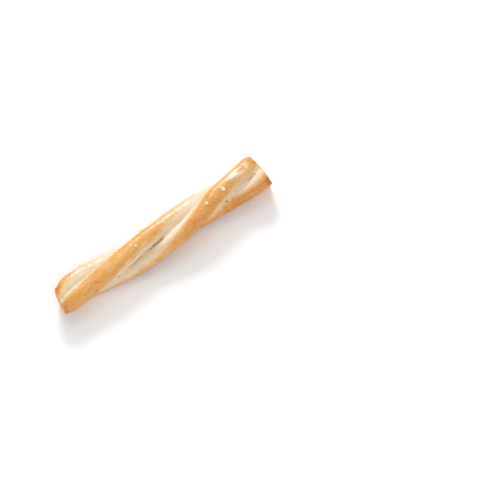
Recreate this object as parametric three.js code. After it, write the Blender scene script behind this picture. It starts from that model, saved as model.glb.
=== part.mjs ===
// A twisted salted breadstick: one baked bar of dough with three round ridges that wind
// around it and three creased grooves between them, cut off at both ends, with coarse salt
// crystals stuck to its crust.
//
// Millimetres. +X runs along the stick towards its wider end, +Z is up, and the stick lies
// on the plane z = 0 with the middle of its bounding box over the origin.

import * as THREE from 'three';

// ---- Driving dimensions -------------------------------------------------------------

const LENGTH = 126; // between the two cuts, on the middle line
const VALLEY_RADIUS = 5.8; // from the middle line to the crease of a groove
const END_FILL = { depth: 1.1, reach: 9 }; // the grooves grow shallower towards the cuts
const AXIS_HEIGHT = 8.8; // the middle line above the tray the dough slumped on

// The three ridges of the section. Angles are in degrees about the middle line, measured
// from the first ridge's crest, and each ridge fills the angle between its two creases.
const RIDGES = [
  { crest: 0, fromCrease: -68, toCrease: 68, radius: 9.4 },
  { crest: 124, fromCrease: 68, toCrease: 180, radius: 10.3 },
  { crest: 236, fromCrease: 180, toCrease: 292, radius: 9.6 },
];

// Where the first ridge's crest points along the stick: degrees from +Y towards +Z. The
// angle falls along +X, so the twist is left-handed, and it is tighter past the middle.
const TWIST = [
  { along: 0, angle: 171 },
  { along: 0.35, angle: 87 },
  { along: 0.6, angle: 28 },
  { along: 0.75, angle: -22 },
  { along: 1, angle: -83 },
];

const CREASE_SHARPNESS = 0.5; // 0 is a rounded groove, 1 a sharp V

// The cut ends: a domed face with a rounded rim, leaning off square.
const NARROW_END = { dome: 1.6, lean: { y: 0.19, z: -0.11 }, reach: 12, swell: -0.1, swellReach: 5 };
const WIDE_END = { dome: 1.3, lean: { y: 0, z: -0.27 }, reach: 12, swell: 0.07, swellReach: 12 };
const RIM_SQUARENESS = 4; // 2 is a half ball, larger is a flatter face with a tighter rim

// The slow unevenness of hand-rolled dough: how far the middle line bends to the side, in
// millimetres, and by what share the stick thickens. rate and start are in radians.
const BEND = { height: 0.35, rate: 5, start: 0.6 };
const THICKENING = [
  { height: 0.012, rate: 9, start: 1 },
  { height: 0.012, rate: 21, start: 0 },
];

const SEGMENTS_AROUND = 45; // 8 degrees each, so that every crease falls on a line of points
const RINGS_ALONG = 56;
const CAP_RINGS = 5;

const GRAIN_GAP = 0.35; // clear space between a crystal and the crust
const GRAIN_TURN = 137; // degrees that each crystal is turned on the crust from the last one
// Each crystal: place along the stick (0 to 1), angle around it (degrees from +Y towards
// +Z), and its three diameters.
const GRAINS = [
  { along: 0.055, around: -4, size: [1.6, 1.4, 1.3] },
  { along: 0.14, around: 12, size: [1.9, 1.6, 1.4] },
  { along: 0.23, around: -16, size: [1.5, 1.3, 1.2] },
  { along: 0.31, around: 8, size: [1.4, 1.2, 1.1] },
  { along: 0.361, around: 95, size: [1.6, 1.4, 1.2] },
  { along: 0.43, around: 34, size: [2.4, 1.8, 1.6] },
  { along: 0.513, around: 74, size: [1.4, 1.2, 1.1] },
  { along: 0.55, around: -22, size: [1.8, 1.4, 1.3] },
  { along: 0.62, around: 4, size: [1.5, 1.3, 1.2] },
  { along: 0.706, around: 106, size: [1.6, 1.3, 1.1] },
  { along: 0.746, around: 90, size: [1.3, 1.2, 1.1] },
  { along: 0.8, around: 96, size: [2.5, 1.6, 1.4] },
  { along: 0.84, around: -28, size: [1.6, 1.4, 1.2] },
  { along: 0.9, around: 10, size: [1.8, 1.5, 1.3] },
  { along: 0.948, around: 64, size: [1.8, 1.5, 1.3] },
  { along: 0.965, around: 27, size: [2.1, 1.7, 1.5] },
  { along: 0.975, around: 101, size: [1.4, 1.2, 1.1] },
];

const DEGREE = Math.PI / 180;

// ---- The stick's own shape ----------------------------------------------------------

const twistCurve = new THREE.SplineCurve(TWIST.map((t) => new THREE.Vector2(t.along, t.angle)));

// The first ridge's direction, by a bisection for the point of the curve at this place.
function ridgeAngle(along) {
  const halvings = 30;
  let low = 0;
  let high = 1;
  for (let i = 0; i < halvings; i += 1) {
    const middle = (low + high) / 2;
    if (twistCurve.getPoint(middle).x < along) low = middle;
    else high = middle;
  }
  return twistCurve.getPoint(low).y;
}

// 1 on a crest and 0 in a crease, where t is 0 on the crest and 1 in the crease.
function ridgeProfile(t) {
  const rounded = (1 + Math.cos(Math.PI * t)) / 2;
  const creased = 1 - t * t;
  return THREE.MathUtils.lerp(rounded, creased, CREASE_SHARPNESS);
}

// The section's radius at an angle, in degrees from the first ridge's crest.
function sectionRadius(fromFirstCrest, valley) {
  const start = RIDGES[0].fromCrease;
  const angle = THREE.MathUtils.euclideanModulo(fromFirstCrest - start, 360) + start;
  const ridge = RIDGES.find((r) => angle < r.toCrease) ?? RIDGES[RIDGES.length - 1];
  const crease = angle < ridge.crest ? ridge.fromCrease : ridge.toCrease;
  const t = (angle - ridge.crest) / (crease - ridge.crest);
  return valley + (ridge.radius - valley) * ridgeProfile(t);
}

// A hump that is 1 at a distance of 0 and has faded out at about twice its reach.
function fade(distance, reach) {
  return Math.exp(-((distance / reach) ** 2));
}

function wave(along, { height, rate, start }) {
  return height * Math.sin(rate * along + start);
}

// How much thicker or thinner the stick is at a place, from its ends and its slow waves.
function bulk(along) {
  const narrow = NARROW_END.swell * fade(along * LENGTH, NARROW_END.swellReach);
  const wide = WIDE_END.swell * fade((1 - along) * LENGTH, WIDE_END.swellReach);
  return THICKENING.reduce((total, each) => total + wave(along, each), 1 + narrow + wide);
}

// A point of the crust. inset is 1 on the side of the stick and falls to 0 at the middle
// of an end face; beyond is how far the face has domed past the cut.
function crustPoint(along, around, inset = 1, beyond = 0) {
  const fromNarrow = along * LENGTH;
  const fromWide = (1 - along) * LENGTH;
  const filled = fade(fromNarrow, END_FILL.reach) + fade(fromWide, END_FILL.reach);
  const valley = VALLEY_RADIUS + END_FILL.depth * filled;
  const radius = sectionRadius(around / DEGREE - ridgeAngle(along), valley) * bulk(along) * inset;
  const y = radius * Math.cos(around) + wave(along, BEND);
  const z = Math.max(radius * Math.sin(around), -AXIS_HEIGHT);
  const leant = (end, distance) => (end.lean.y * y + end.lean.z * z) * fade(distance, end.reach);
  const lean = leant(NARROW_END, fromNarrow) + leant(WIDE_END, fromWide);
  return new THREE.Vector3((along - 0.5) * LENGTH + lean + beyond, y, z + AXIS_HEIGHT);
}

// One closed skin: a sphere whose rings are laid out from the wide end's middle, over its
// rim, along the stick, and over the narrow end's rim to that end's middle. Its lines of
// points wind with the dough, from the first crease on.
function stickGeometry() {
  const rings = RINGS_ALONG + 2 * CAP_RINGS;
  const geometry = new THREE.SphereGeometry(1, SEGMENTS_AROUND, rings);
  const points = geometry.attributes.position;
  const rim = (quarter) => ({
    inset: Math.sin((quarter * Math.PI) / 2) ** (2 / RIM_SQUARENESS),
    rise: Math.cos((quarter * Math.PI) / 2) ** (2 / RIM_SQUARENESS),
  });
  for (let i = 0; i < points.count; i += 1) {
    const ring = Math.floor(i / (SEGMENTS_AROUND + 1));
    const segment = (i % (SEGMENTS_AROUND + 1)) % SEGMENTS_AROUND;
    const along = THREE.MathUtils.clamp(1 - (ring - CAP_RINGS) / RINGS_ALONG, 0, 1);
    const fromFirstCrest = RIDGES[0].fromCrease + (segment * 360) / SEGMENTS_AROUND;
    const around = (ridgeAngle(along) + fromFirstCrest) * DEGREE;
    const toWideMiddle = ring / CAP_RINGS;
    const toNarrowMiddle = (rings - ring) / CAP_RINGS;
    const { inset, rise } = rim(Math.min(toWideMiddle, toNarrowMiddle, 1));
    const dome = toWideMiddle < 1 ? WIDE_END.dome : -NARROW_END.dome;
    const point = crustPoint(along, around, inset, dome * rise);
    points.setXYZ(i, point.x, point.y, point.z);
  }
  geometry.computeVertexNormals();
  return geometry;
}

function breadstick() {
  const crust = new THREE.MeshStandardMaterial({ color: 0xdda763, roughness: 0.6, metalness: 0 });
  const mesh = new THREE.Mesh(stickGeometry(), crust);
  mesh.name = 'breadstick';
  return mesh;
}

// ---- Salt ---------------------------------------------------------------------------

// The outward direction of the crust at a place, from two short steps over it.
function crustNormal(along, around) {
  const step = 0.01;
  const here = crustPoint(along, around);
  const alongStep = crustPoint(along + step, around).sub(here);
  const aroundStep = crustPoint(along, around + step).sub(here);
  return aroundStep.cross(alongStep).normalize();
}

// A compact crystal lying on the crust, its thinnest way standing out from it.
function saltGrain(grain, index) {
  const [long, wide, thick] = grain.size;
  const around = grain.around * DEGREE;
  const outward = crustNormal(grain.along, around);
  const salt = new THREE.MeshStandardMaterial({ color: 0xf6f1e6, roughness: 0.25, metalness: 0 });
  const mesh = new THREE.Mesh(new THREE.IcosahedronGeometry(0.5, 0), salt);
  mesh.name = `salt_grain_${String(index + 1).padStart(2, '0')}`;
  mesh.scale.set(long, wide, thick);
  mesh.quaternion.setFromUnitVectors(new THREE.Vector3(0, 0, 1), outward);
  mesh.rotateZ(index * GRAIN_TURN * DEGREE);
  mesh.position.copy(crustPoint(grain.along, around)).addScaledVector(outward, thick / 2 + GRAIN_GAP);
  return mesh;
}

// ---- The whole object, with its box centred over the origin -------------------------

const group = new THREE.Group();
group.add(breadstick(), ...GRAINS.map(saltGrain));
const box = new THREE.Box3().setFromObject(group, true);
const middle = box.getCenter(new THREE.Vector3());
group.position.set(-middle.x, -middle.y, -box.min.z);

export default group;
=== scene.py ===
"""A twisted, salted breadstick lying on a plain pale table.

The crust is one skin, lofted over the same kind of twisted bar of three ridges as the solid,
with the unevenness of hand-rolled dough, and with its cracks, blisters, wrinkles and baked
ends in the mesh itself. Each coarse crystal of salt is a piece of its own, pressed into the
crust where the solid's grain is. The fine crumbs of salt are one piece together.

Metres throughout. +X runs along the stick towards its wider end and +Z is up.
"""

import math

import bmesh
import bpy
import numpy as np
from mathutils import Matrix, Vector, noise
from mathutils.kdtree import KDTree


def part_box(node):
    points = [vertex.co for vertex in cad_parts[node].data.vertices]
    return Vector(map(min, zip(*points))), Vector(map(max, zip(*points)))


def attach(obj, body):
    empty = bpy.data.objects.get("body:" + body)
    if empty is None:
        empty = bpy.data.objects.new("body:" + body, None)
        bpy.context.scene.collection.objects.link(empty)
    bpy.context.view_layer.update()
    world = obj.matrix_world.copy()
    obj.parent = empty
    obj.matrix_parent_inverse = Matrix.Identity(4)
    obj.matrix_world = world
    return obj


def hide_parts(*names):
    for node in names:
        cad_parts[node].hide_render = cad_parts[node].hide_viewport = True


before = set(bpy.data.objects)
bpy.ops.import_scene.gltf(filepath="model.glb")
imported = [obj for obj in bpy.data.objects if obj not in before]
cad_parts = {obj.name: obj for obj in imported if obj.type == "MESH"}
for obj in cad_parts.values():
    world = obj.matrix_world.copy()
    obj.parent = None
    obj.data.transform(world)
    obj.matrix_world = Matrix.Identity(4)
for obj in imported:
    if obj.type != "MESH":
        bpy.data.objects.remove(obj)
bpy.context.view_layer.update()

MM = 0.001

# ---- The twisted bar ------------------------------------------------------------------

LENGTH = 126 * MM  # between the two cuts, on the middle line
VALLEY_RADIUS = 5.8 * MM  # from the middle line to the crease of a groove
END_FILL = {"depth": 1.1 * MM, "reach": 9 * MM}  # the grooves grow shallower at the cuts
AXIS_HEIGHT = 8.8 * MM  # the middle line above the tray

# The numbers of "swell", "fill", TWIST and BEND weren't chosen by hand. They are the results
# that another program printed: a least-squares fit of the stick's outline and creases, which
# started from the solid's own values.

# The three ridges of the section, in degrees from the first ridge's crest. "swell" is how
# many millimetres each crest stands out at places along the stick, and "fill" the same for
# the crease where each ridge begins.
RIDGES = [
    {
        "crest": 0,
        "from": -68,
        "to": 68,
        "radius": 9.4 * MM,
        "swell": [
            (0, -0.55), (0.15, -0.79), (0.3, -0.32), (0.5, -0.17), (0.7, -0.34), (0.85, -0.04),
            (1, 0),
        ],
        "fill": [(0, -0.4), (0.15, -0.69), (0.3, -0.1), (0.5, -0.05), (1, 0)],
    },
    {
        "crest": 124,
        "from": 68,
        "to": 180,
        "radius": 10.3 * MM,
        "swell": [(0, 0), (0.3, 0), (0.5, 0.29), (0.7, 0.12), (0.85, 0.35), (1, 0.22)],
        "fill": [(0, -0.15), (0.5, -0.19), (0.7, -0.11), (0.85, 0.06), (1, 0)],
    },
    {
        "crest": 236,
        "from": 180,
        "to": 292,
        "radius": 9.6 * MM,
        "swell": [
            (0, -0.07), (0.15, -0.29), (0.3, -0.08), (0.5, -0.19), (0.7, -0.76), (0.85, -0.27),
            (1, 0.29),
        ],
        "fill": [(0, 0), (0.7, 0.09), (0.85, 0.25), (1, 0.08)],
    },
]
FILL_REACH = 56  # degrees from a crease over which its fill fades out
FIRST_CREASE = RIDGES[0]["from"]
CREASES = [ridge["from"] for ridge in RIDGES]
CREASE_SHARPNESS = 0.5  # 0 is a rounded groove, 1 a sharp V

# Where the first crest points at places along the stick, in degrees from +Y towards +Z.
# Fitted, as above.
TWIST = [
    (0, 174.5),
    (0.175, 133.6),
    (0.35, 86.2),
    (0.475, 57.7),
    (0.6, 28.8),
    (0.675, 10.7),
    (0.75, -20.3),
    (0.82, -36.7),
    (0.9, -57.5),
    (1, -79.9),
]

# The cut ends: how far the face domes, how it leans with y and z, and how the stick swells.
NARROW_END = {"dome": 1.9 * MM, "lean": (0.26, -0.12), "swell": -0.15, "swell_reach": 3.6 * MM}
WIDE_END = {"dome": 1.4 * MM, "lean": (0, -0.27), "swell": 0.07, "swell_reach": 12 * MM}
NARROW_END_DRAWN_OUT = 0.8 * MM
LEAN_REACH = 12 * MM
RIM_SQUARENESS = 3.4  # 2 is a half ball, larger is a flatter face with a tighter rim
RIM_DRAWN_IN = {"share": 0.06, "reach": 1.3 * MM}  # the rims are worn round
FACE_RADIUS = 8.3 * MM  # an end face's outline grows round towards its middle, to this radius
FACE_ROUND_INSIDE = 0.25  # the share of the face in which it is quite round
FACE_EDGE = 0.93  # the share of the section at which a rim turns into a face

# How many millimetres the middle line bends to +Y at places along the stick. Fitted, as above.
BEND = [
    (0, 0.24),
    (0.12, 0.54),
    (0.26, -0.07),
    (0.4, -0.2),
    (0.5, -0.19),
    (0.6, -0.17),
    (0.7, 0.14),
    (0.8, 0.42),
    (0.9, -0.3),
    (1, -0.72),
]
# The slow waves by which the stick thickens and thins, as shares of its radius.
THICKENING = [
    {"height": 0.012, "rate": 9, "start": 1},
    {"height": 0.012, "rate": 21, "start": 0},
]

# ---- How finely the crust is meshed ---------------------------------------------------

RINGS_ALONG = 500
RINGS_ON_A_FACE = 30
POINTS_AROUND = 176
CREASE_CROWDING = {"extra": 2.0, "reach": 9}  # points stand closer near a crease, in degrees
FINE_ANGLES = 3601
SMALLEST_RING = 0.0004  # of a quarter turn, about the middle of a face
SHORTEST_NORMAL = 1e-12


def fade(distance, reach):
    """1 at no distance, fading out at about twice the reach."""
    return np.exp(-((distance / reach) ** 2))


def ease(low, high, value):
    """0 below low, 1 above high, and a soft step between them."""
    share = np.clip((value - low) / (high - low), 0, 1)
    return share * share * (3 - 2 * share)


def wave(along, height, rate, start):
    return height * np.sin(rate * along + start)


def with_marks(base, shares, marks):
    """A base level, raised or lowered by its share of each named mark."""
    return sum((share * marks[name] for name, share in shares.items()), base)


def angle_between(one, other):
    """The signed angle from other to one, from -180 to 180 degrees."""
    return (one - other + 180) % 360 - 180


def smooth_line(points, samples=600):
    """An even-handed smooth curve through points, as two columns."""
    knots = np.array([points[0], *points, points[-1]], float)
    line = []
    for place in np.linspace(0, len(points) - 1, samples):
        first = min(int(place), len(points) - 2)
        a, b, c, d = knots[first : first + 4]
        t = place - first
        start, end = (c - a) / 2, (d - b) / 2
        line.append(
            (2 * b - 2 * c + start + end) * t**3
            + (3 * c - 3 * b - 2 * start - end) * t**2
            + start * t
            + b
        )
    return np.array(line).T


TWIST_LINE = smooth_line(TWIST)


def smoothly(along, points):
    """A value given at places along the stick, read off a smooth line through them."""
    return np.interp(along, *smooth_line(points))


def crest_angle(along):
    """Where the first ridge's crest points, in degrees."""
    return np.interp(along, *TWIST_LINE)


def ridge_profile(along, angle):
    """1 on a crest and 0 in a crease, and the radius of the crest that it belongs to."""
    height = np.zeros_like(angle)
    crest_radius = np.zeros_like(angle)
    for ridge in RIDGES:
        inside = (angle >= ridge["from"]) & (angle < ridge["to"])
        crest = ridge["crest"]
        half = np.where(angle < crest, crest - ridge["from"], ridge["to"] - crest)
        t = np.abs(angle - crest) / half
        rounded = (1 + np.cos(math.pi * t)) / 2
        profile = rounded + (1 - t * t - rounded) * CREASE_SHARPNESS
        height = np.where(inside, profile, height)
        radius = ridge["radius"] + smoothly(along, ridge["swell"]) * MM
        crest_radius = np.where(inside, radius, crest_radius)
    return height, crest_radius


def bulk(along):
    """How much thicker the stick is at a place than its ridges' own radius, as a factor."""
    from_narrow, from_wide = along * LENGTH, (1 - along) * LENGTH
    narrow = NARROW_END["swell"] * fade(from_narrow, NARROW_END["swell_reach"])
    wide = WIDE_END["swell"] * fade(from_wide, WIDE_END["swell_reach"])
    from_rim = np.minimum(from_narrow, from_wide)
    drawn_in = RIM_DRAWN_IN["share"] * fade(from_rim, RIM_DRAWN_IN["reach"])
    return 1 + narrow + wide - drawn_in + sum(wave(along, **each) for each in THICKENING)


def bar_points(along, angle, inset, beyond):
    """The bare bar's surface. Returns its points and each point's distance from the middle line."""
    from_narrow, from_wide = along * LENGTH, (1 - along) * LENGTH
    filled = fade(from_narrow, END_FILL["reach"]) + fade(from_wide, END_FILL["reach"])
    valley = VALLEY_RADIUS + END_FILL["depth"] * filled
    for ridge in RIDGES:
        share = np.clip(1 - np.abs(angle_between(angle, ridge["from"])) / FILL_REACH, 0, 1)
        valley = valley + share * smoothly(along, ridge["fill"]) * MM
    height, crest_radius = ridge_profile(along, angle)
    section = valley + (crest_radius - valley) * height
    section = FACE_RADIUS + (section - FACE_RADIUS) * ease(FACE_ROUND_INSIDE, 1, inset)
    radius = section * bulk(along) * inset
    around = np.radians(angle + crest_angle(along))
    y = radius * np.cos(around) + smoothly(along, BEND) * MM
    z = np.maximum(radius * np.sin(around), -AXIS_HEIGHT)
    lean = sum(
        (end["lean"][0] * y + end["lean"][1] * z) * fade(distance, LEAN_REACH)
        for end, distance in ((NARROW_END, from_narrow), (WIDE_END, from_wide))
    )
    drawn_out = NARROW_END_DRAWN_OUT * fade(from_narrow, LEAN_REACH)
    x = (along - 0.5) * LENGTH + lean + beyond - drawn_out
    return np.stack([x, y, z + AXIS_HEIGHT], axis=-1), radius


# ---- The grid of points over the bar --------------------------------------------------


def crowded_angles():
    """Angles once around the section, standing closer together near the creases."""
    fine = np.linspace(FIRST_CREASE, FIRST_CREASE + 360, FINE_ANGLES)
    crowd = 1 + CREASE_CROWDING["extra"] * sum(
        fade(angle_between(fine, crease), CREASE_CROWDING["reach"]) for crease in CREASES
    )
    filled = np.concatenate([[0], np.cumsum((crowd[1:] + crowd[:-1]) / 2)])
    wanted = np.linspace(0, filled[-1], POINTS_AROUND, endpoint=False)
    return np.interp(wanted, filled, fine)


def crust_rows():
    """What each ring of points is, from the middle of the narrow face to the wide one's.

    Returns its place along, its share of the full section, and how far its face domes past
    the cut. One more point closes each end.
    """
    quarter = np.cos(np.linspace(0, math.pi / 2, RINGS_ON_A_FACE + 1)[1:]) ** 2
    quarter[-1] = SMALLEST_RING
    inset = np.sin(quarter * math.pi / 2) ** (2 / RIM_SQUARENESS)
    rise = np.cos(quarter * math.pi / 2) ** (2 / RIM_SQUARENESS)
    side = np.linspace(0, 1, RINGS_ALONG)
    along = np.concatenate([np.zeros_like(inset), side, np.ones_like(inset)])
    insets = np.concatenate([inset[::-1], np.ones_like(side), inset])
    narrow_dome = -NARROW_END["dome"] * rise[::-1]
    wide_dome = WIDE_END["dome"] * rise
    beyond = np.concatenate([narrow_dome, np.zeros_like(side), wide_dome])
    return along, insets, beyond


def grid_normals(points):
    """Outward unit normals of a grid whose columns close around."""
    down_rows = np.gradient(points, axis=0)
    around = np.roll(points, -1, axis=1) - np.roll(points, 1, axis=1)
    normals = np.cross(around, down_rows)
    lengths = np.linalg.norm(normals, axis=-1, keepdims=True)
    return normals / np.maximum(lengths, SHORTEST_NORMAL)


class Dough:
    """The bar's grid of points, with what the baking needs to know at each of them."""

    def __init__(self):
        rows, insets, beyond = crust_rows()
        angles = crowded_angles()
        self.shape = (len(rows), len(angles))
        self.along, self.angle = np.meshgrid(rows, angles, indexing="ij")
        self.inset = np.repeat(insets[:, None], len(angles), axis=1)
        past = np.repeat(beyond[:, None], len(angles), axis=1)
        self.points, self.radius = bar_points(self.along, self.angle, self.inset, past)
        self.height = ridge_profile(self.along, self.angle)[0]
        self.from_end = np.minimum(self.along, 1 - self.along) * LENGTH
        self.face = ease(1, FACE_EDGE, self.inset)  # 1 on an end face
        self.side = 1 - self.face
        # The dough as it was before it was twisted, where stretch marks run straight.
        turn = np.radians(self.angle)
        run = self.along * LENGTH + past
        section = (self.radius * np.cos(turn), self.radius * np.sin(turn))
        self.straight = np.stack([run, *section], axis=-1)
        self.normals = grid_normals(self.points)


# How mathutils' fractal noise adds its octaves.
NOISE_SMOOTHNESS = 1.0
NOISE_STEP = 2.0

# A spot: what shuffles the places' draws, how small it may be, and how steep its sides are.
SPOT_SHUFFLE = 9.7
SMALLEST_SPOT = 0.6
SPOT_STEEPNESS = 1.5


def soft_noise(dough, size, octaves=2, seed=0.0):
    """Smooth noise from about -1 to 1 whose lumps have that size.

    size is one number, or one for along the dough and one for across it.
    """
    along, across = size if isinstance(size, tuple) else (size, size)
    places = (dough.straight / np.array([along, across, across]) + seed).reshape(-1, 3)
    values = [
        noise.fractal(Vector(place), NOISE_SMOOTHNESS, NOISE_STEP, octaves) for place in places
    ]
    return np.array(values).reshape(dough.shape)


def spots(dough, spacing, share, roundness=0.45, seed=0.0):
    """Round bumps from 0 to 1, one to about each spacing, on a share of those places."""
    places = (dough.straight / spacing + seed).reshape(-1, 3)
    values = np.zeros(len(places))
    for i, place in enumerate(places):
        distances, middles = noise.voronoi(Vector(place))
        draw = noise.cell(middles[0] * SPOT_SHUFFLE)
        if draw < share:
            reach = roundness * (SMALLEST_SPOT + (1 - SMALLEST_SPOT) * draw / share)
            values[i] = max(0.0, 1 - (distances[0] / reach) ** 2) ** SPOT_STEEPNESS
    return values.reshape(dough.shape)


def patch(dough, along, angle, long, wide):
    """A soft patch from 0 to 1 at a place on the dough. long is in metres, wide in degrees."""
    run = fade((dough.along - along) * LENGTH, long)
    return run * fade(angle_between(dough.angle, angle), wide)


# ---- What baking does to the dough ----------------------------------------------------

# Splits along a crease: the crease's angle, where it starts and ends along the stick, and
# how deep it is torn.
SPLITS = [
    {"crease": 68, "start": 0.28, "end": 0.44, "depth": 0.40 * MM},
    {"crease": 68, "start": 0.385, "end": 0.505, "depth": 0.80 * MM},
    {"crease": 68, "start": 0.53, "end": 0.66, "depth": 0.20 * MM},
    {"crease": 180, "start": 0.91, "end": 0.985, "depth": 0.40 * MM},
    {"crease": -68, "start": 0.52, "end": 0.66, "depth": 0.75 * MM},
    {"crease": -68, "start": 0.68, "end": 0.80, "depth": 0.45 * MM},
    {"crease": 180, "start": 0.10, "end": 0.30, "depth": 0.60 * MM},
    {"crease": 68, "start": 0.78, "end": 0.92, "depth": 0.20 * MM},
]
SPLIT_HALF_WIDTH = 0.064 * MM
SPLIT_RAGGEDNESS = 0.072 * MM  # how much that varies along a split
NARROWEST_SPLIT = 0.06 * MM
SPLIT_TIP = 0.4  # how wide a split's tip is, as a share of its width
DEEPEST_SPLIT = 0.80 * MM
ALL_ALONG = 400 * MM  # a lump of noise so wide that it only changes along the dough
SPLIT_WANDER = {"slow": 2.4, "fast": 0.7}  # degrees
STRAINED_BESIDE = {"away": 0.5 * MM, "reach": 0.9 * MM}  # the dough beside a split, where slits open and painted shade lies
SLIT_DEPTH = 0.08 * MM
SLIT_SHARE = 0.10

# Where a crease was pulled in tight and sank: its angle, its start and end, and how deep.
SUNK = [
    {"crease": 68, "start": 0.22, "end": 0.70, "depth": 0.45 * MM},
    {"crease": 180, "start": 0.68, "end": 1.00, "depth": 0.70 * MM},
    {"crease": -68, "start": 0.45, "end": 0.90, "depth": 0.70 * MM},
    {"crease": 180, "start": 0.02, "end": 0.40, "depth": 0.60 * MM},
    {"crease": -68, "start": 0.02, "end": 0.34, "depth": 0.25 * MM},
]
SUNK_HALF_WIDTH = 1.2 * MM
SUNK_WANDER = 3  # degrees

FACE_CREASE_HALF_WIDTH = 0.55 * MM

# Patches where the crust blistered: place along, angle from the first crest, length, width.
BLISTERED = [
    (0.40, 8, 9 * MM, 22),
    (0.60, 20, 12 * MM, 20),
    (0.88, 100, 9 * MM, 24),
    (0.22, 225, 10 * MM, 30),
    (0.70, 250, 12 * MM, 30),
    (0.10, 130, 9 * MM, 30),
    (0.716, 112, 4 * MM, 14),
]

SCATTERED_BLISTERS = 0.5
BLISTERED_RIDGE = (0.2, 0.6)  # the heights over a crease between which blisters begin

PLAIN_GLOSS = 0.26
GLOSSY_RIDGE = (0.06, 0.45)  # the heights over a crease between which the gloss begins

# Stretches where the crust is glossiest: how glossy, then place along, angle from the first
# crest, length and width.
GLOSSY = [
    (0.45, 0.12, 250, 9 * MM, 60),
    (0.3, 0.54, 10, 9 * MM, 50),
    (0.45, 0.72, 40, 14 * MM, 60),
    (1.0, 0.89, 135, 9 * MM, 40),
    (0.7, 0.30, 120, 14 * MM, 50),
    (0.7, 0.62, 240, 12 * MM, 50),
    (0.7, 0.90, 330, 10 * MM, 50),
]

# Smooth long blisters, which run straight along the stick: how high in millimetres, then place
# along, angle from +Y towards +Z, length and width.
LONG_BLISTERS = [
    (0.55, 0.888, 85.5, 5.8 * MM, 4.5),
    (0.40, 0.957, 76, 1.3 * MM, 6),
]

# Paler stretches of crust; the one at the wide end is painted light about the long blister's
# highlight. For each: how much paler, then as for the long blisters.
PALER_AND_PAINTED_GLOW = [
    (0.08, 0.87, 86, 11 * MM, 16),
    (0.06, 0.30, 100, 12 * MM, 20),
]

# Scorched specks: place along, angle from the first crest, width, and how dark.
SPECKS = [
    (0.797, 187, 1.15 * MM, 0.9),
    (0.825, 192, 1.0 * MM, 0.45),
    (0.855, 168, 0.8 * MM, 0.5),
    (0.243, 64, 1.3 * MM, 0.9),
    (0.13, 12, 1.0 * MM, 0.6),
    (0.545, 96, 0.5 * MM, 0.5),
    (0.655, 150, 0.5 * MM, 0.6),
    (0.45, 250, 0.7 * MM, 0.7),
    (0.33, 205, 0.6 * MM, 0.7),
    (0.885, 280, 0.7 * MM, 0.8),
]

STRETCH_FADES_FROM = 0.45  # the share of a stretch's half at which it begins to fade out


def beside(dough, stretch, wander):
    """How far each point is across from a stretch of crease, and 1 fading to 0 past its ends."""
    across = np.radians(angle_between(dough.angle, stretch["crease"] + wander)) * dough.radius
    middle = (stretch["start"] + stretch["end"]) / 2
    half = (stretch["end"] - stretch["start"]) / 2
    return across, ease(1, STRETCH_FADES_FROM, np.abs(dough.along - middle) / half)


def splits(dough):
    """How far each point is split open, with painted shade in the split, how deep in metres, and
    how much painted shade lies beside the split.

    The first and the last are from 0 to 1.
    """
    torn, depth, split_side_shade = (np.zeros(dough.shape) for _ in range(3))
    wander = SPLIT_WANDER["slow"] * soft_noise(dough, (9 * MM, ALL_ALONG), 2, seed=4.1)
    wander += SPLIT_WANDER["fast"] * soft_noise(dough, (1.5 * MM, ALL_ALONG), 2, seed=4.9)
    ragged = soft_noise(dough, (2.4 * MM, ALL_ALONG), 3, seed=8.7)
    slits = ease(0.15, 0.45, soft_noise(dough, (3.2 * MM, 0.30 * MM), 2, seed=14.2))
    for split in SPLITS:
        across, reach = beside(dough, split, wander)
        share = split["depth"] / DEEPEST_SPLIT
        width = np.maximum(SPLIT_HALF_WIDTH + SPLIT_RAGGEDNESS * ragged, NARROWEST_SPLIT)
        core = fade(across, width * (SPLIT_TIP + (1 - SPLIT_TIP) * reach)) * reach
        near = fade(across - STRAINED_BESIDE["away"], STRAINED_BESIDE["reach"]) * reach
        torn = np.maximum(torn, np.maximum(core, SLIT_SHARE * near * slits) * share)
        opened = np.maximum(core * split["depth"], SLIT_DEPTH * near * slits)
        depth = np.maximum(depth, opened)
        split_side_shade = np.maximum(split_side_shade, near * share)
    return torn * dough.side, depth * dough.side, split_side_shade * dough.side


def face_creases(dough):
    """The grooves' short way into each end face, from 0 to 1."""
    marks = np.zeros(dough.shape)
    for crease in CREASES:
        across = np.radians(angle_between(dough.angle, crease)) * dough.radius
        marks = np.maximum(marks, fade(across, FACE_CREASE_HALF_WIDTH))
    return marks * ease(0.45, 0.85, dough.inset) * dough.face


def sinking(dough):
    """How deep each point has sunk beside a tight crease, in metres."""
    depth = np.zeros(dough.shape)
    wander = SUNK_WANDER * soft_noise(dough, (9 * MM, ALL_ALONG), 2, seed=5.3)
    for stretch in SUNK:
        across, reach = beside(dough, stretch, wander)
        depth = np.maximum(depth, fade(across, SUNK_HALF_WIDTH) * reach * stretch["depth"])
    return depth * dough.side


def blistering(dough):
    """How blistered the crust is, from 0 to 1: in its patches, and a little elsewhere."""
    patches = sum(patch(dough, *each) for each in BLISTERED)
    scattered = ease(0.0, 0.45, soft_noise(dough, 9 * MM, 1, seed=2.4))
    ridge = ease(*BLISTERED_RIDGE, dough.height) * dough.side
    return np.clip(patches + SCATTERED_BLISTERS * scattered, 0, 1) * ridge


def shining(dough):
    """Where the crust shines, from 0 to 1: on the ridges, and most in its glossy stretches."""
    glossy = sum(gloss * patch(dough, *where) for gloss, *where in GLOSSY)
    ridge = ease(*GLOSSY_RIDGE, dough.height) * dough.side
    return ridge * np.clip(PLAIN_GLOSS + (1 - PLAIN_GLOSS) * glossy, 0, 1)


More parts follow.
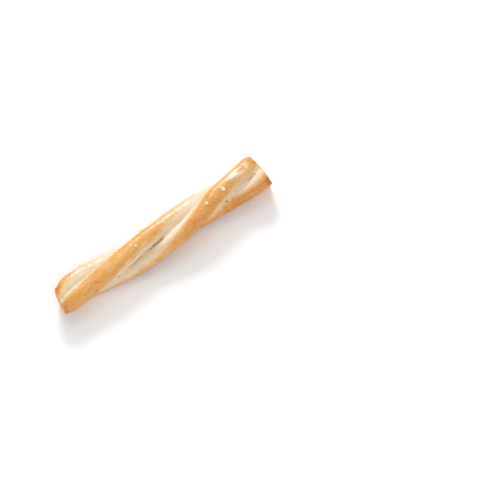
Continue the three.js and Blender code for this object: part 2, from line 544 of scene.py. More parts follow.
# How far each kind of relief stands out of the crust, or sinks into it.
RELIEF = {
    "waves": 0.20 * MM,
    "lumps": 0.06 * MM,
    "grain": 0.03 * MM,
    "blisters": 0.13 * MM,
    "small blisters": 0.06 * MM,
    "stretch marks": 0.07 * MM,
    "pores": -0.12 * MM,
    "crumb": 0.13 * MM,
    "crumb holes": -0.45 * MM,
    "face creases": -0.55 * MM,
}
TRAY_TEXTURE = 0.03 * MM
PORE_PAINTED_SHADE = 0.35  # how dark the bottom of a pore is painted, as shade in the pore
SPLIT_SIDE_SHADE_SHARE = 0.3  # how much of the painted shade beside a split goes into the olive band
LONG_BLISTER_PAINTED_HIGHLIGHT = 2.4  # how fast a long blister is painted whiter as it rises, per millimetre, as painted highlight


def bake_crust(dough):
    """Puts the relief of the baked crust on the bar.

    Returns its points and the masks that the finish needs.
    """
    torn, depth, split_side_shade = splits(dough)
    blistered = blistering(dough)
    blisters = spots(dough, 1.3 * MM, 0.75, 0.5) * blistered
    small_blisters = spots(dough, 0.7 * MM, 0.5, 0.5, seed=5.0) * blistered
    groove = ease(0.5, 0.1, dough.height) * dough.side
    pores = spots(dough, 1.2 * MM, 0.3, 0.2, seed=11.0) * dough.side
    long_blisters = straight_patches(dough, LONG_BLISTERS)
    shapes = {
        "waves": soft_noise(dough, (11 * MM, 6 * MM), 2, seed=3.7),
        "lumps": soft_noise(dough, (3 * MM, 1.8 * MM), 2, seed=9.1),
        "grain": soft_noise(dough, (1.3 * MM, 1.0 * MM), 2, seed=7.7),
        "blisters": blisters,
        "small blisters": small_blisters,
        "stretch marks": groove * soft_noise(dough, (6 * MM, 0.40 * MM), 3, seed=1.3),
        "pores": pores,
        "crumb": dough.face * soft_noise(dough, 0.9 * MM, 3, seed=6.2),
        "crumb holes": dough.face * spots(dough, 1.9 * MM, 0.35, 0.42, seed=21.0),
        "face creases": face_creases(dough),
    }
    relief = with_marks(MM * long_blisters - depth - sinking(dough), RELIEF, shapes)
    points = dough.points + dough.normals * relief[..., None]
    tray = TRAY_TEXTURE * (1 + soft_noise(dough, 0.8 * MM, 2, seed=13.0))
    points[..., 2] = np.maximum(points[..., 2], tray)
    masks = {
        "browning": browning(dough, blisters, small_blisters),
        # Split dough, painted darker as shade inside the splits and the pores.
        "torn": np.maximum(torn, PORE_PAINTED_SHADE * pores),
        # Underbaked greenish dough with painted shade beside the creases, and more painted shade
        # beside the splits.
        "olive": np.clip(beside_creases(dough, OLIVE_DOUGH_AND_GROOVE_SHADE) + SPLIT_SIDE_SHADE_SHARE * split_side_shade, 0, 1),
        # Raw dough, made whiter with painted light on the lit flank beside a crease.
        "cream": beside_creases(dough, CREAM_DOUGH_AND_PAINTED_LIGHT),
        "speck": specks(dough),
        "gloss": shining(dough),
        # The long blisters: painted highlight, whiter and glossier.
        "blister": np.clip(LONG_BLISTER_PAINTED_HIGHLIGHT * long_blisters, 0, 1),
        "face": dough.face,
    }
    return points, masks


# The pale dough beside each crease. For either side, at places along the stick: how many
# degrees from the crease it starts to colour, and how many until it is golden.
PALE = [
    {
        "crease": -68,
        "before": [(0, 8, 36), (0.1, 18, 56), (0.2, 26, 66), (1, 16, 50)],
        "after": [(0, 8, 32), (0.1, 7, 26), (0.18, 2, 12), (1, 2, 9)],
    },
    {
        "crease": 68,
        "before": [
            (0, 6, 24), (0.12, 10, 34), (0.2, 20, 52), (0.3, 24, 52), (0.38, 15, 46),
            (0.46, 9, 40), (0.6, 14, 60),
        ],
        "after": [
            (0, 12, 46), (0.45, 14, 44), (0.52, 17, 38), (0.6, 13, 32), (0.66, 3, 22),
            (0.7, 2, 20),
        ],
    },
    {
        "crease": 180,
        "before": [(0, 8, 34), (0.7, 4, 30), (0.85, 6, 32), (0.92, 6, 24), (1, 6, 22)],
        "after": [
            (0.7, 1, 16), (0.76, 5, 26), (0.84, 2, 20), (0.88, 7, 30), (0.93, 14, 42),
            (1, 15, 50),
        ],
    },
]

# How golden each ridge has baked at places along the stick, from its crest's angle.
GOLDEN = [
    {
        "crest": 0,
        "levels": [
            (0, 0.52), (0.1, 0.56), (0.3, 0.55), (0.48, 0.52), (0.58, 0.38), (0.72, 0.28),
            (1, 0.45),
        ],
    },
    {
        "crest": 124,
        "levels": [
            (0, 0.60), (0.4, 0.50), (0.52, 0.54), (0.62, 0.62), (0.7, 0.60), (0.8, 0.54),
            (0.9, 0.51), (1, 0.50),
        ],
    },
    {
        "crest": 236,
        "levels": [(0, 0.60), (0.12, 0.52), (0.3, 0.46), (0.6, 0.54), (0.8, 0.61), (1, 0.65)],
    },
]

RAW_LEVEL = 0.17  # of browning, in the palest dough
RIDGE_SHARE = 50  # degrees from a crest over which its golden level fades into the next one's
UNEVEN_GOLD = 0.07
PALE_EDGE_WANDER = {"degrees": 9, "at_reach": 40}

# How much each kind of mark browns the crust, or pales it.
BROWNS = {
    "wrinkles": 0.09,
    "underside": 0.32,
    "rims": 0.10,
    "rims underneath": 0.15,
    "ends": 0.05,
    "on the tray": 0.08,
    "blisters": -0.09,
    "small blisters": -0.05,
    "dapples": -0.04,
    "freckles": 0.20,
}
# How brown the crumb of an end face is, and how much marks brown it.
CUT_LEVEL = 0.30
CUT_BROWNS = {"patchiness": 0.12, "edge": 0.34, "underside": 0.10}
FACE_EDGE_BROWNS = (0.80, 1.0)  # the shares of the section between which a face's edge browns

# Where the underside's browning starts and is full, by how far the crust faces up and by its
# height over the tray.
UNDERSIDE = {"facing": (-0.06, -0.42), "height": (9.5 * MM, 5 * MM)}
RIM_BROWNING = {"reach": 1.8 * MM, "ridge": (0.2, 0.8)}  # the rims of the ridges, not the grooves
END_BROWNING_REACH = 9 * MM
ON_THE_TRAY = (0.9 * MM, 0.1 * MM)  # the heights between which the tray browns the crust


def at_places(along, points):
    """Values given at places along the stick, read off between them."""
    places, *columns = np.array(points, float).T
    return [np.interp(along, places, column) for column in columns]


def pale_share(dough):
    """1 in the pale dough beside a crease and 0 where the crust is golden."""
    edge = PALE_EDGE_WANDER["degrees"] * soft_noise(dough, (9 * MM, 3 * MM), 3, seed=15.0)
    pale = np.zeros(dough.shape)
    for groove in PALE:
        past = angle_between(dough.angle, groove["crease"])
        before = at_places(dough.along, groove["before"])
        after = at_places(dough.along, groove["after"])
        starts, ends = (np.where(past < 0, before[i], after[i]) for i in (0, 1))
        wander = edge * (ends / PALE_EDGE_WANDER["at_reach"])
        pale = np.maximum(pale, ease(ends, starts, np.abs(past) + wander))
    return pale


def golden_level(dough):
    """How golden the ridges are, blended softly from each ridge to the next."""
    total, shares = np.zeros(dough.shape), np.zeros(dough.shape)
    for ridge in GOLDEN:
        share = fade(angle_between(dough.angle, ridge["crest"]), RIDGE_SHARE)
        total += share * at_places(dough.along, ridge["levels"])[0]
        shares += share
    return total / shares


def straight_patches(dough, patches):
    """Patches that run straight along the stick rather than winding with the dough."""
    crest = crest_angle(dough.along)
    return sum(
        amount * patch(dough, along, around - crest, long, wide)
        for amount, along, around, long, wide in patches
    )


def browning(dough, blisters, small_blisters):
    """How far the crust has browned, from 0, raw, to 1, scorched."""
    uneven = soft_noise(dough, (16 * MM, 7 * MM), 2, seed=17.0)
    golden = golden_level(dough) + UNEVEN_GOLD * uneven
    pale = pale_share(dough)
    facing_up, height = dough.normals[..., 2], dough.points[..., 2]
    underside = ease(*UNDERSIDE["facing"], facing_up) * ease(*UNDERSIDE["height"], height)
    rim = fade(dough.from_end, RIM_BROWNING["reach"]) * ease(*RIM_BROWNING["ridge"], dough.height)
    marks = {
        "wrinkles": pale * soft_noise(dough, (1.8 * MM, 0.9 * MM), 2, seed=41.0),
        "underside": underside,
        "rims": rim,
        "rims underneath": rim * ease(0.4, -0.3, facing_up),
        "ends": fade(dough.from_end, END_BROWNING_REACH),
        "on the tray": ease(*ON_THE_TRAY, height),
        "blisters": blisters,
        "small blisters": small_blisters,
        "dapples": spots(dough, 1.6 * MM, 0.6, 0.5, seed=31.0),
        "freckles": spots(dough, 2.3 * MM, 0.35, 0.16, seed=37.0),
    }
    # The paler stretches take browning away, one of them as painted light about a highlight.
    level = golden - (golden - RAW_LEVEL) * pale - straight_patches(dough, PALER_AND_PAINTED_GLOW)
    level = with_marks(level, BROWNS, marks)
    marks["patchiness"] = soft_noise(dough, 3.5 * MM, 2, seed=23.0)
    marks["edge"] = ease(*FACE_EDGE_BROWNS, dough.inset)
    cut = with_marks(CUT_LEVEL, CUT_BROWNS, marks)
    level = level + (cut - level) * dough.face
    return np.clip(level, 0, 1)


# The underbaked, greenish dough in each groove, darkened with painted shade beside its crease.
# From the crease out to a reach in degrees, on the side that its sign gives, with how strong it
# is at places along the stick.
OLIVE_DOUGH_AND_GROOVE_SHADE = [
    {
        "crease": 68,
        "reach": -30,
        "levels": [(0, 0.2), (0.3, 0.4), (0.46, 0.6), (0.54, 0.2), (0.62, 0.0), (1, 0)],
    },
    {
        "crease": 68,
        "reach": 26,
        "levels": [(0, 0.3), (0.3, 0.8), (0.38, 1.0), (0.44, 0.9), (0.48, 0.1), (1, 0)],
    },
    {
        "crease": 180,
        "reach": -20,
        "levels": [(0, 0.4), (0.7, 0.1), (0.8, 0.4), (0.9, 0.7), (1, 0.7)],
    },
]

# The whitest raw dough, made brighter with painted light where a groove's flank faces the lamps,
# given in the same way.
CREAM_DOUGH_AND_PAINTED_LIGHT = [
    {
        "crease": 68,
        "reach": 20,
        "levels": [(0, 0), (0.38, 0), (0.44, 0.5), (0.49, 1), (0.62, 0.9), (0.68, 0), (1, 0)],
    },
    {
        "crease": 180,
        "reach": 26,
        "levels": [(0, 0), (0.85, 0), (0.88, 0.6), (0.96, 0.6), (1, 0.2)],
    },
]


# Where a band begins at its crease and ends, as shares of its reach.
BAND_STARTS = (-0.1, 0.2)
BAND_ENDS = (1.3, 0.5)


def beside_creases(dough, sides):
    """The bands of a table such as OLIVE_DOUGH_AND_GROOVE_SHADE, from 0 to 1."""
    marks = np.zeros(dough.shape)
    for side in sides:
        past = angle_between(dough.angle, side["crease"]) / side["reach"]
        band = ease(*BAND_STARTS, past) * ease(*BAND_ENDS, past)
        marks = np.maximum(marks, band * at_places(dough.along, side["levels"])[0])
    return marks * dough.side


def specks(dough):
    """How scorched each point is by a speck, from 0 to 1."""
    total = np.zeros(dough.shape)
    for along, angle, width, dark in SPECKS:
        run = (dough.along - along) * LENGTH
        across = np.radians(angle_between(dough.angle, angle)) * dough.radius
        total = np.maximum(total, dark * fade(np.hypot(run, across), width / 2))
    return total * dough.side


# ---- Meshes ---------------------------------------------------------------------------


def new_piece(name, points, faces, finish):
    """A piece of the scene with one smooth mesh and one finish."""
    mesh = bpy.data.meshes.new(name)
    mesh.from_pydata([tuple(p) for p in points], [], faces)
    mesh.shade_smooth()
    mesh.materials.append(finish)
    piece = bpy.data.objects.new(name, mesh)
    bpy.context.scene.collection.objects.link(piece)
    return piece


def skin_faces(rows, columns):
    """Quads over a grid that closes around, and a fan of triangles at each end."""
    row, column = np.meshgrid(np.arange(rows - 1), np.arange(columns), indexing="ij")
    here, next_row = row * columns, (row + 1) * columns
    after = (column + 1) % columns
    corners = [here + column, here + after, next_row + after, next_row + column]
    quads = np.stack(corners, axis=-1).reshape(-1, 4)
    narrow_middle, wide_middle = rows * columns, rows * columns + 1
    last = (rows - 1) * columns
    fans = []
    for j in range(columns):
        k = (j + 1) % columns
        fans.append((k, j, narrow_middle))
        fans.append((last + j, last + k, wide_middle))
    return quads.tolist() + fans


def add_mask(piece, name, values):
    mask = piece.data.attributes.new(name, "FLOAT", "POINT")
    mask.data.foreach_set("value", np.asarray(values, np.float32))


# Where the crust's skin lies on its flat map: its side as two strips, and a disc for each face.
STRIP = {"width": 0.48, "height": 0.74, "margin": 0.01}
DISC = {"radius": 0.11, "narrow": (0.25, 0.875), "wide": (0.75, 0.875)}


def flat_map(rows, columns):
    """The place on the flat map of each corner of each face, in skin_faces' order."""
    insets = crust_rows()[1]
    turn = np.radians(np.append(crowded_angles(), FIRST_CREASE + 360))
    first, last = RINGS_ON_A_FACE, rows - 1 - RINGS_ON_A_FACE
    half = (first + last) // 2

    def on_disc(row, column, face):
        reach = DISC["radius"] * insets[row]
        middle_u, middle_v = DISC[face]
        return middle_u + reach * np.cos(turn[column]), middle_v + reach * np.sin(turn[column])

    def on_strip(row, column, second):
        start, end = (half, last) if second else (first, half)
        margin, height = STRIP["margin"], STRIP["height"]
        u = margin + 0.5 * second + STRIP["width"] * column / columns
        return u, margin + (height - margin) * (row - start) / (end - start)

    corners = []
    for row in range(rows - 1):
        for column in range(columns):
            for down, across in ((0, 0), (0, 1), (1, 1), (1, 0)):
                corner = (row + down, column + across)
                if row < first:
                    corners.append(on_disc(*corner, "narrow"))
                elif row >= last:
                    corners.append(on_disc(*corner, "wide"))
                else:
                    corners.append(on_strip(*corner, row >= half))
    end = rows - 1
    for column in range(columns):
        after = column + 1
        corners += [on_disc(0, after, "narrow"), on_disc(0, column, "narrow"), DISC["narrow"]]
        corners += [on_disc(end, column, "wide"), on_disc(end, after, "wide"), DISC["wide"]]
    return np.array(corners, np.float32)


def crust_piece(finish):
    """The whole crust, put where the solid's wide end and its middle line are."""
    dough = Dough()
    points, masks = bake_crust(dough)
    rows, columns = dough.shape
    middles = [points[0].mean(axis=0), points[-1].mean(axis=0)]
    low, high = (np.array(corner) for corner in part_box("breadstick"))
    bar_low = dough.points.reshape(-1, 3).min(axis=0)
    bar_high = dough.points.reshape(-1, 3).max(axis=0)
    place = (low + high) / 2 - (bar_low + bar_high) / 2
    place[0] = high[0] - bar_high[0]
    place[2] = low[2]
    flat = np.concatenate([points.reshape(-1, 3), middles]) + place
    piece = new_piece("baked_crust", flat, skin_faces(rows, columns), finish)
    for name, values in masks.items():
        ends = [values[0].mean(), values[-1].mean()]
        add_mask(piece, name, np.concatenate([values.ravel(), ends]))
    layer = piece.data.uv_layers.new(name="OFBake")
    layer.uv.foreach_set("vector", flat_map(rows, columns).ravel())
    return piece


# ---- Salt -----------------------------------------------------------------------------

SALT_SEED = 7
CRYSTAL_BALL = 5  # how often the ball that a crystal is cut from is divided
CRUMB_BALL = 3
CRYSTAL_CHIPS = 12  # corners broken off a crystal's block
CRYSTAL_SKEW = 0.16  # how far its sides lean off square
SIDE_DEPTHS = (0.60, 0.95)  # how far the sides stand from the middle, as shares of the half size
CHIP_DEPTHS = (0.72, 1.05)  # the same for its chipped corners
EDGE_SHARPNESS = 34
CRYSTAL_SWELL = 1.35  # a crystal's half size against half of its solid's box
CRYSTAL_FLATNESS = 0.22  # how much lower a crystal is than it is wide
CRYSTAL_SINK = 0.42  # the share of a crystal that is baked into the crust

CRUMBS = 90
CRUMB_HALF_SIZE = (0.14 * MM, 0.34 * MM)
CRUMB_UNEVENNESS = (0.7, 1.3)
CRUMB_SCATTER = 4.5 * MM  # about how far crumbs lie from the crystal that they broke from
CRUMBS_FALL_WITHIN = 0.92  # the share of the stick's length that they fall along
NO_CRUMBS_PAST = 0.97  # and the share past which one would lie on a cut face


def ball(divisions):
    """The points and faces of a round ball of radius 1, from a divided icosahedron."""
    mesh = bpy.data.meshes.new("ball")
    shape = bmesh.new()
    bmesh.ops.create_icosphere(shape, subdivisions=divisions, radius=1)
    shape.to_mesh(mesh)
    shape.free()
    points = np.array([v.co for v in mesh.vertices])
    faces = [tuple(f.vertices) for f in mesh.polygons]
    bpy.data.meshes.remove(mesh)
    return points, faces


def crystal(directions, half_sizes, draw):
    """A lump of salt: a skewed block with its corners chipped off and its edges worn."""
    turn = np.linalg.qr(draw.normal(size=(3, 3)))[0]
    sides = np.concatenate([turn, -turn]) + draw.normal(0, CRYSTAL_SKEW, (6, 3))
    chips = draw.normal(size=(CRYSTAL_CHIPS, 3))
    cuts = np.concatenate([sides, chips])
    cuts /= np.linalg.norm(cuts, axis=1, keepdims=True)
    side_depths = draw.uniform(*SIDE_DEPTHS, 6)
    depths = np.concatenate([side_depths, draw.uniform(*CHIP_DEPTHS, CRYSTAL_CHIPS)])
    facing = np.maximum(directions @ cuts.T, 0) / depths
    radius = 1 / np.sum(facing**EDGE_SHARPNESS, axis=1) ** (1 / EDGE_SHARPNESS)
    return directions * radius[:, None] * half_sizes


class Seats:
    """Finds where salt lies on the crust."""

    def __init__(self, crust):
        vertices = crust.data.vertices
        self.points = np.array([v.co for v in vertices])
        self.normals = np.array([v.normal for v in vertices])
        self.tree = KDTree(len(vertices))
        for vertex in vertices:
            self.tree.insert(vertex.co, vertex.index)
        self.tree.balance()

    def nearest(self, middle):
        """The nearest place on the crust to a point, and the way that it faces."""
        index = self.tree.find(middle)[1]
        return self.points[index], self.normals[index]


def seated(lump, seat, outward):
    """A crystal, flattened a little and pressed into its seat on the crust."""
    lump = lump - CRYSTAL_FLATNESS * np.outer(lump @ outward, outward)
    reach = -(lump @ outward).min()
    return lump + seat + outward * reach * (1 - 2 * CRYSTAL_SINK)


def salt_pieces(seats, draw, finish):
    """A crystal for each grain of the solid, seated on the crust."""
    directions, faces = ball(CRYSTAL_BALL)
    pieces = []
    for name in sorted(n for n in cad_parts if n.startswith("salt_grain")):
        low, high = (np.array(corner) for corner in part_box(name))
        seat, outward = seats.nearest((low + high) / 2)
        lump = crystal(directions, (high - low) / 2 * CRYSTAL_SWELL, draw)
        points = seated(lump, seat, outward)
        piece = new_piece(name.replace("grain", "crystal"), points, faces, finish)
        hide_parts(name)
        pieces.append(piece)
    return pieces


def salt_crumbs(seats, crystals, draw, finish):
    """The fine crumbs of salt about the crystals and along the crust's top, as one piece."""
    directions, faces = ball(CRUMB_BALL)
    middles = [np.mean([v.co for v in each.data.vertices], axis=0) for each in crystals]
    low, high = (np.array(corner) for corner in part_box("breadstick"))
    points, all_faces = [], []
    for number in range(CRUMBS):
        if number % 2:
            near = middles[draw.integers(len(middles))] + draw.normal(0, CRUMB_SCATTER, 3)
        else:
            near = draw.uniform(low, high) * (CRUMBS_FALL_WITHIN, 1, 0) + (0, 0, high[2])
        seat, outward = seats.nearest(near)
        half_sizes = draw.uniform(*CRUMB_HALF_SIZE) * draw.uniform(*CRUMB_UNEVENNESS, 3)
        lump = crystal(directions, half_sizes, draw)
        if outward[2] < 0 or abs(seat[0]) > NO_CRUMBS_PAST * high[0]:
            continue  # no salt lies on the underside or on a cut face
        all_faces += [tuple(len(directions) * len(points) + i for i in face) for face in faces]
        points.append(seated(lump, seat, outward))
    return new_piece("salt_crumbs", np.concatenate(points), all_faces, finish)


# ---- Finishes -------------------------------------------------------------------------


class Finish:
    """A material, and the one way in which its nodes are added."""

    def __init__(self, name):
        self.material = bpy.data.materials.new(name)
        self.material.use_nodes = True
        self.tree = self.material.node_tree
        self.tree.nodes.clear()

    def add(self, kind, settings=None, sockets=None, output=0):
        """Adds a node of that kind. Its settings come first, then its sockets' values or links."""
        node = self.tree.nodes.new("ShaderNode" + kind)
        for name, value in (settings or {}).items():
            if name == "stops":
                self.set_stops(node.color_ramp, value)
            else:
                setattr(node, name, value)
        for name, value in (sockets or {}).items():
            if isinstance(value, Level):
                self.tree.links.new(value.socket, node.inputs[name])
            else:
                node.inputs[name].default_value = value
        return None if output is None else Level(self, node.outputs[output])

    @staticmethod
    def set_stops(ramp, stops):
        while len(ramp.elements) < len(stops):
            ramp.elements.new(1.0)
        for element, (place, colour) in zip(ramp.elements, stops):
            element.position = place
            element.color = colour

    def mask(self, name):
        return self.add("Attribute", {"attribute_name": name}, output="Fac")

    def places(self):
        return self.add("TexCoord", output="Object")

    def grain(self, places, size, detail, stretch=(1, 1, 1), between=None):
        """Noise from 0 to 1 whose lumps are about that size, or a soft step between two levels."""
        scale = tuple(1 / each for each in stretch)
        spread = self.add("Mapping", None, {"Vector": places, "Scale": scale})
        sockets = {"Vector": spread, "Scale": 1 / size, "Detail": detail, "Roughness": 0.55}
        grain = self.add("TexNoise", None, sockets)
        return grain.between(*between) if between else grain

    def blend(self, share, first, second):
        """A colour between two, by share."""
        return self.add("Mix", {"data_type": "RGBA"}, {0: share, 6: first, 7: second}, output=2)

    def bump(self, strength, depth, height):
        """The dents and bumps too fine for the mesh. depth is how far a height of 1 stands out."""
        return self.add("Bump", None, {"Strength": strength, "Distance": depth, "Height": height})

    def show(self, shader):
        """Puts the shader on the surface. Returns the material."""
        self.add("OutputMaterial", None, {"Surface": shader}, output=None)
        return self.material


class Level:
    """A socket of a finish. Sums of levels add the nodes that work them out."""

    def __init__(self, finish, socket):
        self.finish = finish
        self.socket = socket

    def _math(self, operation, first, second):
        return self.finish.add("Math", {"operation": operation}, {0: first, 1: second})

    def __add__(self, other):
        return self._math("ADD", self, other)

    __radd__ = __add__

    def __sub__(self, other):
        return self._math("SUBTRACT", self, other)

    def __rsub__(self, other):
        return self._math("SUBTRACT", other, self)

    def __mul__(self, other):
        return self._math("MULTIPLY", self, other)

    __rmul__ = __mul__

    def kept(self, low=0.0, high=1.0):
        """This level, kept between two others."""
        return self._math("MINIMUM", self._math("MAXIMUM", self, low), high)

    def between(self, low, high):
        """0 where this is at low, 1 at high, with a soft step between."""
        settings = {"interpolation_type": "SMOOTHSTEP"}
        sockets = {"Value": self, "From Min": low, "From Max": high}
        return self.finish.add("MapRange", settings, sockets)


def tint(red, green, blue):
    """A colour as the eye names it, from 0 to 255, as the light values that a shader needs."""
    return (*(((each / 255 + 0.055) / 1.055) ** 2.4 for each in (red, green, blue)), 1.0)


# The crust's colour at levels of browning, from raw dough to scorched.
BAKED_COLOURS = [
    (0.0, tint(239, 226, 204)),
    (0.20, tint(237, 212, 176)),
    (0.38, tint(233, 188, 124)),
    (0.56, tint(226, 160, 80)),
    (0.76, tint(202, 121, 50)),
    (1.0, tint(140, 70, 28)),
]
CRUMB_COLOURS = (tint(240, 212, 164), tint(226, 184, 124))
CRUMB_SHARE = 0.55  # of the colour of an end face

# What is laid over the baked colour, in this order, painted light and painted shade among it:
# the mask, how strongly, and its colour.
LAID_OVER = [
    # Raw dough, and painted light on the lit flanks beside the creases.
    ("cream", 0.7, tint(248, 231, 212)),
    # Painted highlight on the long blisters.
    ("blister", 0.65, tint(250, 232, 212)),
    # Underbaked dough, with painted shade in the grooves and beside the splits.
    ("olive", 0.5, tint(206, 188, 140)),
    # Painted shade inside the splits and the pores.
    ("torn", 0.9, tint(122, 84, 40)),
    ("speck", 1.0, tint(156, 58, 14)),
]

# The crust's finest marks: noise of a size, drawn out along the stick, or stepped.
FINE_GRAINS = {
    "mottle": {"size": 2.2 * MM, "detail": 4, "stretch": (2.2, 1, 1)},
    "freckle": {"size": 0.7 * MM, "detail": 3},
    "warmth": {"size": 1.2 * MM, "detail": 4},
    "blister patch": {"size": 3.0 * MM, "detail": 2, "between": (0.42, 0.60)},
    "pit": {"size": 0.28 * MM, "detail": 2, "between": (0.64, 0.76)},
    "stretch mark": {"size": 0.26 * MM, "detail": 3, "stretch": (7, 1, 1)},
    "glaze": {"size": 2.8 * MM, "detail": 2, "between": (0.36, 0.62)},
    "grain": {"size": 0.35 * MM, "detail": 4},
}
BOTH_WAYS = ("mottle", "freckle", "warmth")  # the ones that go down as much as up
FINE_BLISTER = {"size": 0.62 * MM, "edge": (0.42, 0.12)}
CRUMB_FRECKLE = (-0.12, 0.12)
GLAZE_SHARE = 0.6  # of the shine that comes and goes with the glaze

# How much each of them changes the crust's browning, the richness of its colour, its
# roughness and its height, and the levels that the last three start from.
FINE_BROWNS = {"mottle": 0.20, "freckle": 0.20, "blister": -0.07, "pit": 0.10}
RICHNESS = {"warmth": 0.60, "mottle": 0.25}
ROUGHNESS = {"gloss": -0.18, "freckle": 0.25, "pit": 0.2}
FINE_HEIGHTS = {"grain": 0.6, "blister": 0.7, "stretch mark": 0.9, "pit": -0.8}
PLAIN_RICHNESS, PLAIN_ROUGHNESS, PLAIN_HEIGHT = 1, 0.66, 0
ROUGHNESS_KEPT = (0.2, 0.9)
CRUST_BUMP = {"strength": 0.42, "depth": 0.06 * MM}


def fine_marks(finish, places):
    """Marks too fine for the mesh: blisters, pits, mottling, stretch marks, and the gloss."""
    marks = {name: finish.grain(places, **grain) for name, grain in FINE_GRAINS.items()}
    for name in BOTH_WAYS:
        marks[name] = marks[name] - 0.5
    sockets = {"Vector": places, "Scale": 1 / FINE_BLISTER["size"], "Randomness": 1.0}
    cells = finish.add("TexVoronoi", {"feature": "F1"}, sockets, output="Distance")
    marks["blister"] = cells.between(*FINE_BLISTER["edge"]) * marks["blister patch"]
    shine = finish.mask("gloss")
    marks["stretch mark"] = (1 - shine) * marks["stretch mark"]
    glaze = (1 - GLAZE_SHARE) + GLAZE_SHARE * marks["glaze"]
    marks["gloss"] = (shine * glaze + finish.mask("blister")).kept()
    return marks


def crust_finish():
    """Baked dough: its colour from how far it browned, with painted light and painted shade laid
    over it, its gloss from where it shines.
    """
    finish = Finish("baked golden crust")
    marks = fine_marks(finish, finish.places())
    baked = with_marks(finish.mask("browning"), FINE_BROWNS, marks)
    colour = finish.add("ValToRGB", {"stops": BAKED_COLOURS}, {"Fac": baked})
    crumb = finish.blend(marks["freckle"].between(*CRUMB_FRECKLE), *CRUMB_COLOURS)
    colour = finish.blend(CRUMB_SHARE * finish.mask("face"), colour, crumb)
    for mask, strength, over in LAID_OVER:
        colour = finish.blend(strength * finish.mask(mask), colour, over)
    richness = with_marks(PLAIN_RICHNESS, RICHNESS, marks)
    colour = finish.add("HueSaturation", None, {"Saturation": richness, "Color": colour})
    roughness = with_marks(PLAIN_ROUGHNESS, ROUGHNESS, marks).kept(*ROUGHNESS_KEPT)
    height = with_marks(PLAIN_HEIGHT, FINE_HEIGHTS, marks)
    shader = finish.add(
        "BsdfPrincipled",
        None,
        {
            "Base Color": colour,
            "Roughness": roughness,
            "Normal": finish.bump(height=height, **CRUST_BUMP),
            "IOR": 1.45,
            "Subsurface Weight": 0.18,
            "Subsurface Radius": (1.0, 0.55, 0.3),
            "Subsurface Scale": 1.2 * MM,
            "Coat Weight": marks["gloss"],
            "Coat Roughness": 0.24,
            "Coat IOR": 1.75,
        },
    )
    return finish.show(shader)


# Salt: clear or clouded in lumps of one size, and frosted with finer ones.
SALT_COLOURS = (tint(248, 229, 203), tint(235, 210, 180))
SALT_CLOUD = {"size": 0.6 * MM, "detail": 3}
SALT_FROST = {"size": 0.3 * MM, "detail": 3}
SALT_ROUGHNESS = {"clear": 0.08, "clouded": 0.32}
SALT_BUMP = {"strength": 0.5, "depth": 0.08 * MM}


def salt_finish():
    finish = Finish("coarse salt")
    places = finish.places()
    cloud = finish.grain(places, **SALT_CLOUD)
    clouding = SALT_ROUGHNESS["clouded"] - SALT_ROUGHNESS["clear"]
    shader = finish.add(
        "BsdfPrincipled",
        None,
        {
            "Base Color": finish.blend(cloud, *SALT_COLOURS),
            "Roughness": (SALT_ROUGHNESS["clear"] + clouding * cloud).kept(),
            "Normal": finish.bump(height=finish.grain(places, **SALT_FROST), **SALT_BUMP),
            "IOR": 1.54,
            "Subsurface Weight": 0.85,
            "Subsurface Radius": (1.0, 0.92, 0.80),
            "Subsurface Scale": 1.0 * MM,
        },
    )
    return finish.show(shader)


TABLE_COLOURS = (tint(253, 253, 254), tint(250, 250, 251))
TABLE_CLOUD = {"size": 60 * MM, "detail": 3}


def table_finish():
    """A matt white table top, very slightly clouded."""
    finish = Finish("pale table")
    colour = finish.blend(finish.grain(finish.places(), **TABLE_CLOUD), *TABLE_COLOURS)
    sockets = {"Base Color": colour, "Roughness": 0.9, "Specular IOR Level": 0.0}
    return finish.show(finish.add("BsdfPrincipled", None, sockets))


# ---- The table, the lights and the camera ---------------------------------------------

TABLE_HALF = 3.0  # metres
VIEW = {"azimuth": -37.5, "elevation": 60, "distance": 1.2}
LENS = 174.7  # millimetres
SENSOR = 36  # millimetres across
NEAREST_SEEN = 10 * MM
# The stick lies left of the middle of the picture and a little above it.
AIM = {"height": 9.6 * MM, "right": 39.7 * MM, "up": -3.2 * MM}

STUDIO_LIGHT = 0.60  # how bright the plain white studio around the table is
# The lamps: the way to each from the stick, how far off it is, its size and its watts.
LAMPS = {
    "overhead lamp": ((0.1, 0.45, 0.9), 1.2, (0.8, 0.8), 1.8),
    "back lamp": ((0.33, 0.72, 0.60), 1.0, (0.32, 0.22), 4.8),
    "front lamp": ((-0.4, -0.8, 1.0), 1.3, (0.9, 0.9), 4.0),
}


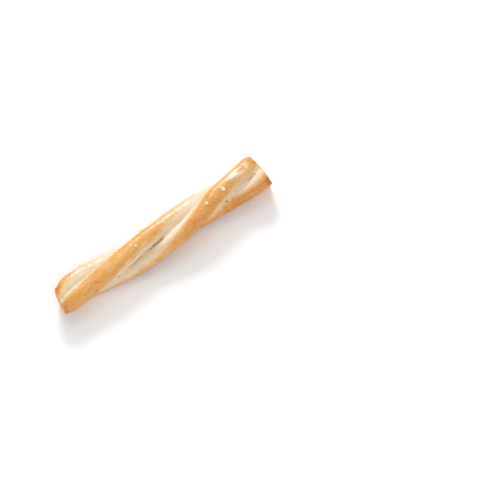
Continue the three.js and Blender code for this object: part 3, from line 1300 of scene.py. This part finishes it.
def view_axes(azimuth, elevation):
    """The camera's right, its up, and the way back to it, for a view over the stick."""
    a, e = math.radians(azimuth), math.radians(elevation)
    back = Vector((math.sin(a) * math.cos(e), -math.cos(a) * math.cos(e), math.sin(e)))
    right = Vector((math.cos(a), math.sin(a), 0))
    return right, back.cross(right), back


def add_camera():
    right, up, back = view_axes(VIEW["azimuth"], VIEW["elevation"])
    aim = Vector((0, 0, AIM["height"])) + right * AIM["right"] + up * AIM["up"]
    data = bpy.data.cameras.new("camera")
    data.lens = LENS
    data.sensor_width = SENSOR
    data.clip_start = NEAREST_SEEN
    camera = bpy.data.objects.new("camera", data)
    turn = Matrix((right, up, back)).transposed().to_4x4()
    camera.matrix_world = Matrix.Translation(aim + back * VIEW["distance"]) @ turn
    bpy.context.scene.collection.objects.link(camera)
    bpy.context.scene.camera = camera


def add_lamp(name, toward, distance, size, watts):
    """A square soft lamp that shines at the stick from a direction."""
    data = bpy.data.lights.new(name, "AREA")
    data.shape = "RECTANGLE"
    data.size, data.size_y = size
    data.energy = watts
    lamp = bpy.data.objects.new(name, data)
    way = Vector(toward).normalized()
    lamp.location = way * distance
    lamp.rotation_euler = way.to_track_quat("Z", "Y").to_euler()
    bpy.context.scene.collection.objects.link(lamp)


def light_the_table():
    world = bpy.data.worlds.new("studio")
    world.use_nodes = True
    background = world.node_tree.nodes["Background"]
    background.inputs["Color"].default_value = tint(255, 255, 255)
    background.inputs["Strength"].default_value = STUDIO_LIGHT
    bpy.context.scene.world = world
    for name, lamp in LAMPS.items():
        add_lamp(name, *lamp)
    bpy.context.scene.view_settings.view_transform = "Standard"


def add_table():
    half = TABLE_HALF
    corners = [(-half, -half, 0), (half, -half, 0), (half, half, 0), (-half, half, 0)]
    table = new_piece("table", corners, [(0, 1, 2, 3)], table_finish())


# ---- Everything together --------------------------------------------------------------

add_camera()
light_the_table()
add_table()

crust = crust_piece(crust_finish())
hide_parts("breadstick")
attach(crust, "root")

seats = Seats(crust)
salt_draw = np.random.default_rng(SALT_SEED)
salt = salt_finish()
crystals = salt_pieces(seats, salt_draw, salt)
crumbs = salt_crumbs(seats, crystals, salt_draw, salt)
for piece in (*crystals, crumbs):
    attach(piece, "root")
